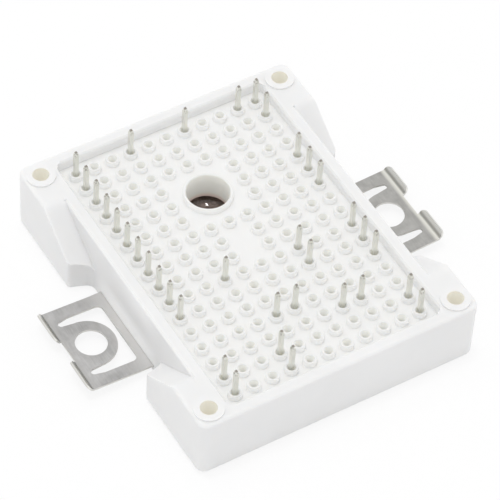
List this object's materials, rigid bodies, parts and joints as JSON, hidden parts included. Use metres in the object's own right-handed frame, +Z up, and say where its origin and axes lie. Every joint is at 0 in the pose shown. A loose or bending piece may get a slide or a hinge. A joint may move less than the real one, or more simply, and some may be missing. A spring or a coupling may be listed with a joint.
{
  "type": "igbt power module",
  "caption": "Flat white moulded power module with a grid of pin holes, soldering pins, a filling port, corner standoffs and two sprung steel screw clamps.",
  "frame": {"origin": "centre of the underside, on the heat sink plane under the middle of the pin grid", "axes": "+X across the two clamps, +Y along the housing towards the filling port, +Z up through the pins"},
  "size_m": [0.0632, 0.0566, 0.0155],
  "materials": {
    "housing_plastic": "white moulded polyester, fine satin",
    "spring_steel": "stamped stainless spring sheet",
    "adhesive": "cured silicone adhesive",
    "alumina": "fired alumina, matt",
    "copper": "bonded copper, lightly oxidised",
    "thermistor_body": "dark ceramic body",
    "aluminium_wire": "drawn aluminium wire",
    "tinned_sleeve": "tin plated copper alloy",
    "tinned_pin": "tin plated copper alloy, satin",
    "silicone": "clear soft gel, dark in depth",
    "transistor_silicon": "metallised silicon",
    "diode_silicon": "metallised silicon"
  },
  "bodies": {
    "root": {"bond_wires": "aluminium_wire", "ceramic_plate": "alumina", "clamp_left": "spring_steel", "clamp_right": "spring_steel", "diode_chip_1": "diode_silicon", "diode_chip_2": "diode_silicon", "diode_chip_3": "diode_silicon", "diode_chip_4": "diode_silicon", "diode_chip_5": "diode_silicon", "diode_chip_6": "diode_silicon", "housing": "housing_plastic", "igbt_chip_1": "transistor_silicon", "igbt_chip_2": "transistor_silicon", "igbt_chip_3": "transistor_silicon", "igbt_chip_4": "transistor_silicon", "igbt_chip_5": "transistor_silicon", "igbt_chip_6": "transistor_silicon", "lower_copper": "copper", "pin_c0_r0": "tinned_pin", "pin_c0_r1": "tinned_pin", "pin_c0_r10": "tinned_pin", "pin_c0_r14": "tinned_pin", "pin_c0_r15": "tinned_pin", "pin_c0_r2": "tinned_pin", "pin_c0_r3": "tinned_pin", "pin_c0_r4": "tinned_pin", "pin_c0_r5": "tinned_pin", "pin_c0_r6": "tinned_pin", "pin_c0_r7": "tinned_pin", "pin_c0_r8": "tinned_pin", "pin_c0_r9": "tinned_pin", "pin_c10_r0": "tinned_pin", "pin_c10_r1": "tinned_pin", "pin_c10_r10": "tinned_pin", "pin_c10_r11": "tinned_pin", "pin_c10_r14": "tinned_pin", "pin_c10_r15": "tinned_pin", "pin_c10_r4": "tinned_pin", "pin_c10_r5": "tinned_pin", "pin_c10_r6": "tinned_pin", "pin_c10_r9": "tinned_pin", "pin_c3_r0": "tinned_pin", "pin_c3_r14": "tinned_pin", "pin_c3_r15": "tinned_pin", "pin_c3_r9": "tinned_pin", "pin_c4_r12": "tinned_pin", "pin_c5_r12": "tinned_pin", "pin_c6_r0": "tinned_pin", "pin_c7_r10": "tinned_pin", "pin_c7_r13": "tinned_pin", "pin_c7_r9": "tinned_pin", "pin_c8_r13": "tinned_pin", "pin_c9_r0": "tinned_pin", "pin_sleeves": "tinned_sleeve", "seal_bead": "adhesive", "silicone_gel": "silicone", "thermistor": "thermistor_body", "upper_copper": "copper"}
  },
  "joints": []
}
